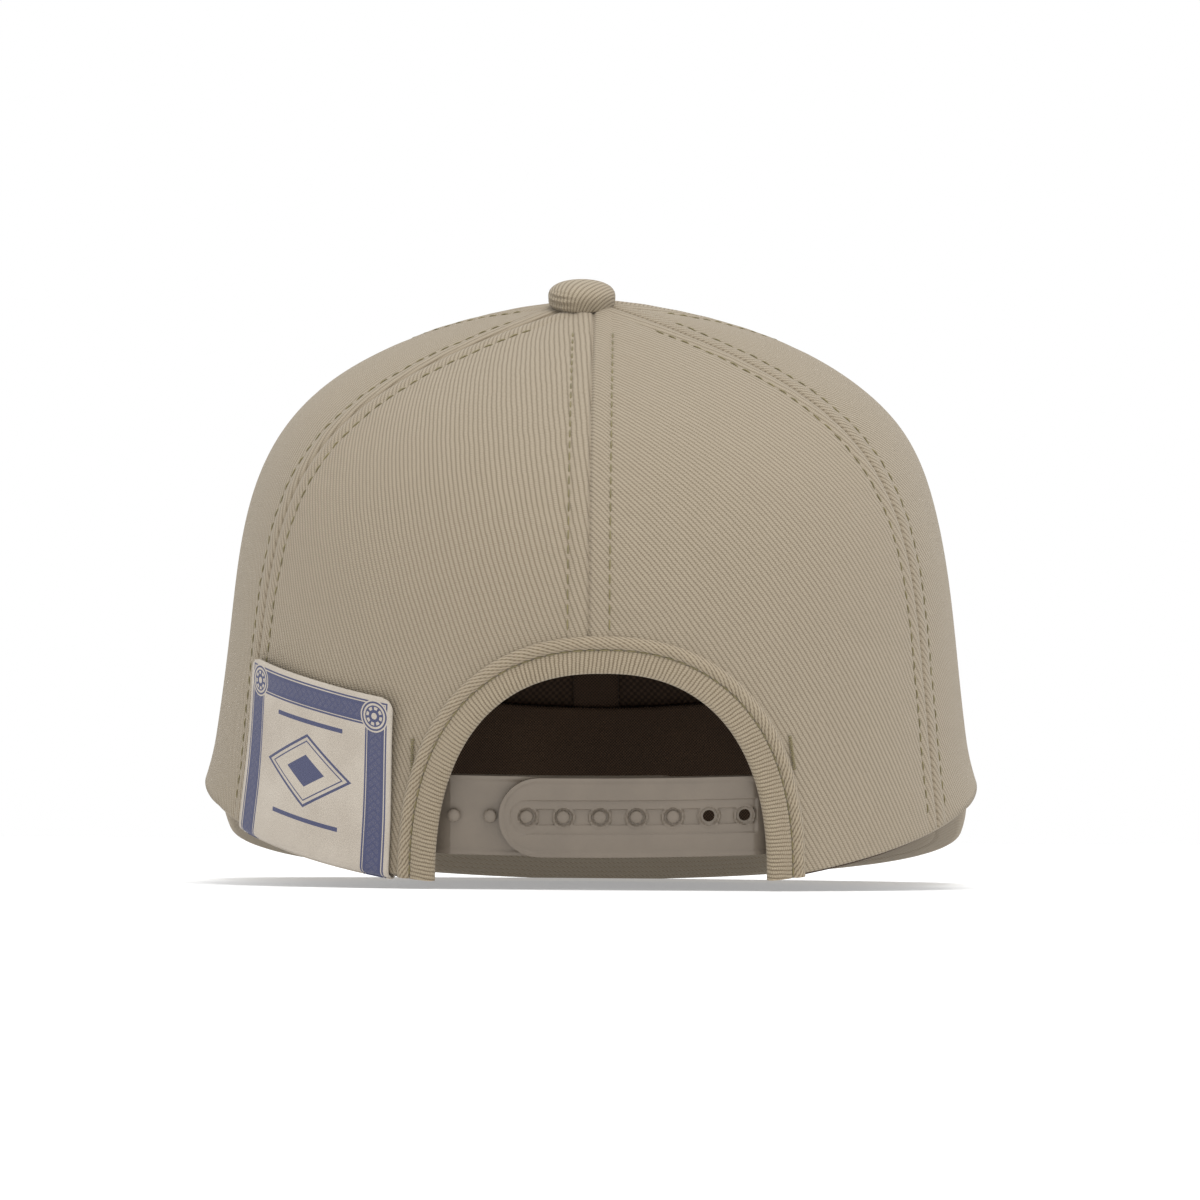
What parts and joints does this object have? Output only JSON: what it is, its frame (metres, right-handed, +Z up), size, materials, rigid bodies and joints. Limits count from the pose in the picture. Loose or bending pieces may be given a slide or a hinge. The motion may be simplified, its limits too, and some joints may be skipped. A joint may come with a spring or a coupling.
{
  "type": "baseball cap",
  "caption": "Flat-brim cap of twill panels with a covered button, a rear arch opening, a moulded snap closure and a label folded over the rim.",
  "frame": {"origin": "on the floor under the middle of the cap's box, with the cap standing on its brim's front edge and the rear of its rim", "axes": "+Y from the closure to the brim, +X to the wearer's right, +Z up from the floor; the crown's own axis leans back 13 degrees"},
  "size_m": [0.192, 0.2734, 0.1445],
  "materials": {
    "crown_twill": "khaki cotton twill",
    "binding_twill": "khaki twill cut on the bias",
    "buckram": "stiff open-weave liner",
    "seam_tape": "plain woven tape",
    "sweatband_cloth": "dark plain weave",
    "snap_plastic": "satin moulded",
    "brim_board": "smooth sheet",
    "brim_top_cloth": "khaki cotton twill",
    "brim_under_cloth": "khaki cotton twill",
    "button_cloth": "khaki cotton twill",
    "button_metal": "plain pressed steel",
    "label_cloth": "off-white woven label with a blue border"
  },
  "bodies": {
    "crown": {"back_panel_right": "crown_twill", "side_panel_right": "crown_twill", "front_panel_right": "crown_twill", "back_panel_left": "crown_twill", "side_panel_left": "crown_twill", "front_panel_left": "crown_twill", "front_buckram_right": "buckram", "front_buckram_left": "buckram", "seam_tape_back": "seam_tape", "seam_tape_back_right": "seam_tape", "seam_tape_back_left": "seam_tape", "seam_tape_front_right": "seam_tape", "seam_tape_front_left": "seam_tape", "seam_tape_front": "seam_tape", "sweatband": "sweatband_cloth", "opening_binding": "binding_twill", "hole_strap_tab": "snap_plastic", "peg_strap_tab": "snap_plastic", "brim_board": "brim_board", "brim_top_cover": "brim_top_cloth", "brim_under_cover": "brim_under_cloth", "button_cover": "button_cloth", "button_shell": "button_metal", "button_washer": "button_metal", "button_rivet": "button_metal", "label_tail": "label_cloth"},
    "hole_strap": {"snap_strap_holes": "snap_plastic"},
    "peg_strap": {"snap_strap_pegs": "snap_plastic"},
    "label": {"label_flap": "label_cloth"}
  },
  "joints": [
    {"name": "hole_strap_flex", "type": "hinge", "parent": "crown", "child": "hole_strap", "pos_m": [0.03739, -0.11501, 0.01732], "axis": [0, -0.225, 0.9744], "range_deg": [0, 45], "stiffness_Nm_per_rad": 0.02},
    {"name": "peg_strap_flex", "type": "hinge", "parent": "crown", "child": "peg_strap", "pos_m": [-0.03132, -0.11603, 0.01708], "axis": [0, -0.225, 0.9744], "range_deg": [0, 35], "stiffness_Nm_per_rad": 0.02},
    {"name": "label_fold", "type": "hinge", "parent": "crown", "child": "label", "pos_m": [-0.06596, -0.09904, 0.00772], "axis": [0.7076, -0.6885, -0.1589], "range_deg": [0, 70], "stiffness_Nm_per_rad": 0.004}
  ]
}
